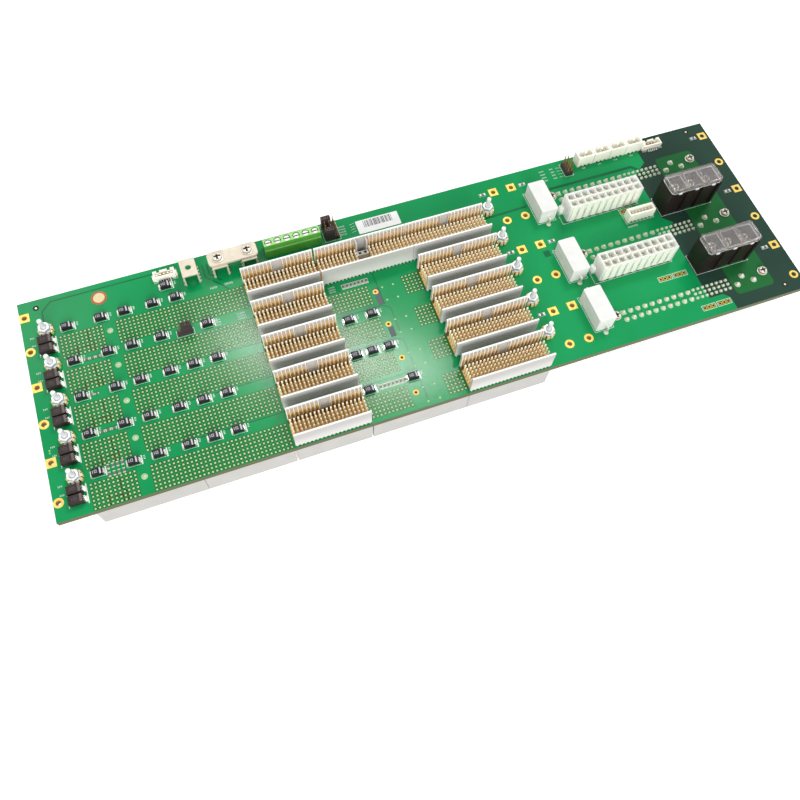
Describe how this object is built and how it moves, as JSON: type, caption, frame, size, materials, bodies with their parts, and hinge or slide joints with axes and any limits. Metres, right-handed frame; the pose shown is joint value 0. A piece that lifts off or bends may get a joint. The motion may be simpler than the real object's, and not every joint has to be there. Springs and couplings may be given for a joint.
{
  "type": "compact pci backplane",
  "caption": "Long green circuit board with rows of slot connectors on both faces, power studs, power headers, terminal blocks and rail screw holes.",
  "frame": {"origin": "under the middle of the board, on the plane of the slot headers' mating edges", "axes": "+X along the board from the stud end to the supply end, +Y across it to the edge with the terminal block, +Z out of the rear face"},
  "size_m": [0.3954, 0.12, 0.0372],
  "materials": {
    "board_mask": "green solder mask, semi-gloss",
    "connector_plastic": "off-white glass-filled moulding",
    "contact_gold": "gold-flashed contact tails",
    "capacitor_resin": "black moulded resin",
    "zinc_steel": "bright zinc plate",
    "tinned_sheet": "tin-plated sheet",
    "terminal_green": "moulded, semi-gloss",
    "nickel_screw": "nickel-plated screw",
    "resistor_cement": "matt white cement-filled ceramic",
    "natural_nylon": "translucent natural nylon",
    "cream_plastic": "cream moulding",
    "black_plastic": "black moulding",
    "clear_cover": "clear moulded cover"
  },
  "bodies": {
    "root": {"alarm_header": "cream_plastic", "backplane_board": "board_mask", "barrier_block_lower": "black_plastic", "barrier_block_upper": "black_plastic", "barrier_cover_lower": "clear_cover", "barrier_cover_upper": "clear_cover", "barrier_screws": "nickel_screw", "cement_resistor_1": "resistor_cement", "cement_resistor_2": "resistor_cement", "cement_resistor_3": "resistor_cement", "contact_pins_slot_1": "contact_gold", "contact_pins_slot_2": "contact_gold", "contact_pins_slot_3": "contact_gold", "contact_pins_slot_4": "contact_gold", "contact_pins_slot_5": "contact_gold", "fan_header_1": "cream_plastic", "fan_header_2": "cream_plastic", "fan_header_3": "cream_plastic", "fan_header_4": "cream_plastic", "front_headers_slot_1": "connector_plastic", "front_headers_slot_2": "connector_plastic", "front_headers_slot_3": "connector_plastic", "front_headers_slot_4": "connector_plastic", "front_headers_slot_5": "connector_plastic", "header_posts": "contact_gold", "jumper_shunts": "black_plastic", "large_capacitors": "capacitor_resin", "link_plate": "tinned_sheet", "link_screws": "nickel_screw", "mode_header": "black_plastic", "power_header_lower": "natural_nylon", "power_header_pins": "tinned_sheet", "power_header_upper": "natural_nylon", "power_studs": "zinc_steel", "rear_shroud_slot_1_p3": "connector_plastic", "rear_shroud_slot_1_p4": "connector_plastic", "rear_shroud_slot_1_p5": "connector_plastic", "rear_shroud_slot_2_p3": "connector_plastic", "rear_shroud_slot_2_p5": "connector_plastic", "rear_shroud_slot_3_p3": "connector_plastic", "rear_shroud_slot_3_p5": "connector_plastic", "rear_shroud_slot_4_p3": "connector_plastic", "rear_shroud_slot_4_p5": "connector_plastic", "rear_shroud_slot_5_p3": "connector_plastic", "rear_shroud_slot_5_p5": "connector_plastic", "resistor_leads": "tinned_sheet", "select_header": "black_plastic", "selector_clips": "tinned_sheet", "small_capacitors": "capacitor_resin", "stud_nuts": "zinc_steel", "supply_connector_1": "black_plastic", "supply_connector_2": "black_plastic", "supply_connector_3": "black_plastic", "supply_connector_screws": "nickel_screw", "terminal_block": "terminal_green", "terminal_block_screws": "nickel_screw", "test_header": "black_plastic", "wire_header_posts": "tinned_sheet", "wire_wafer_left": "cream_plastic", "wire_wafer_right": "cream_plastic"}
  },
  "joints": []
}
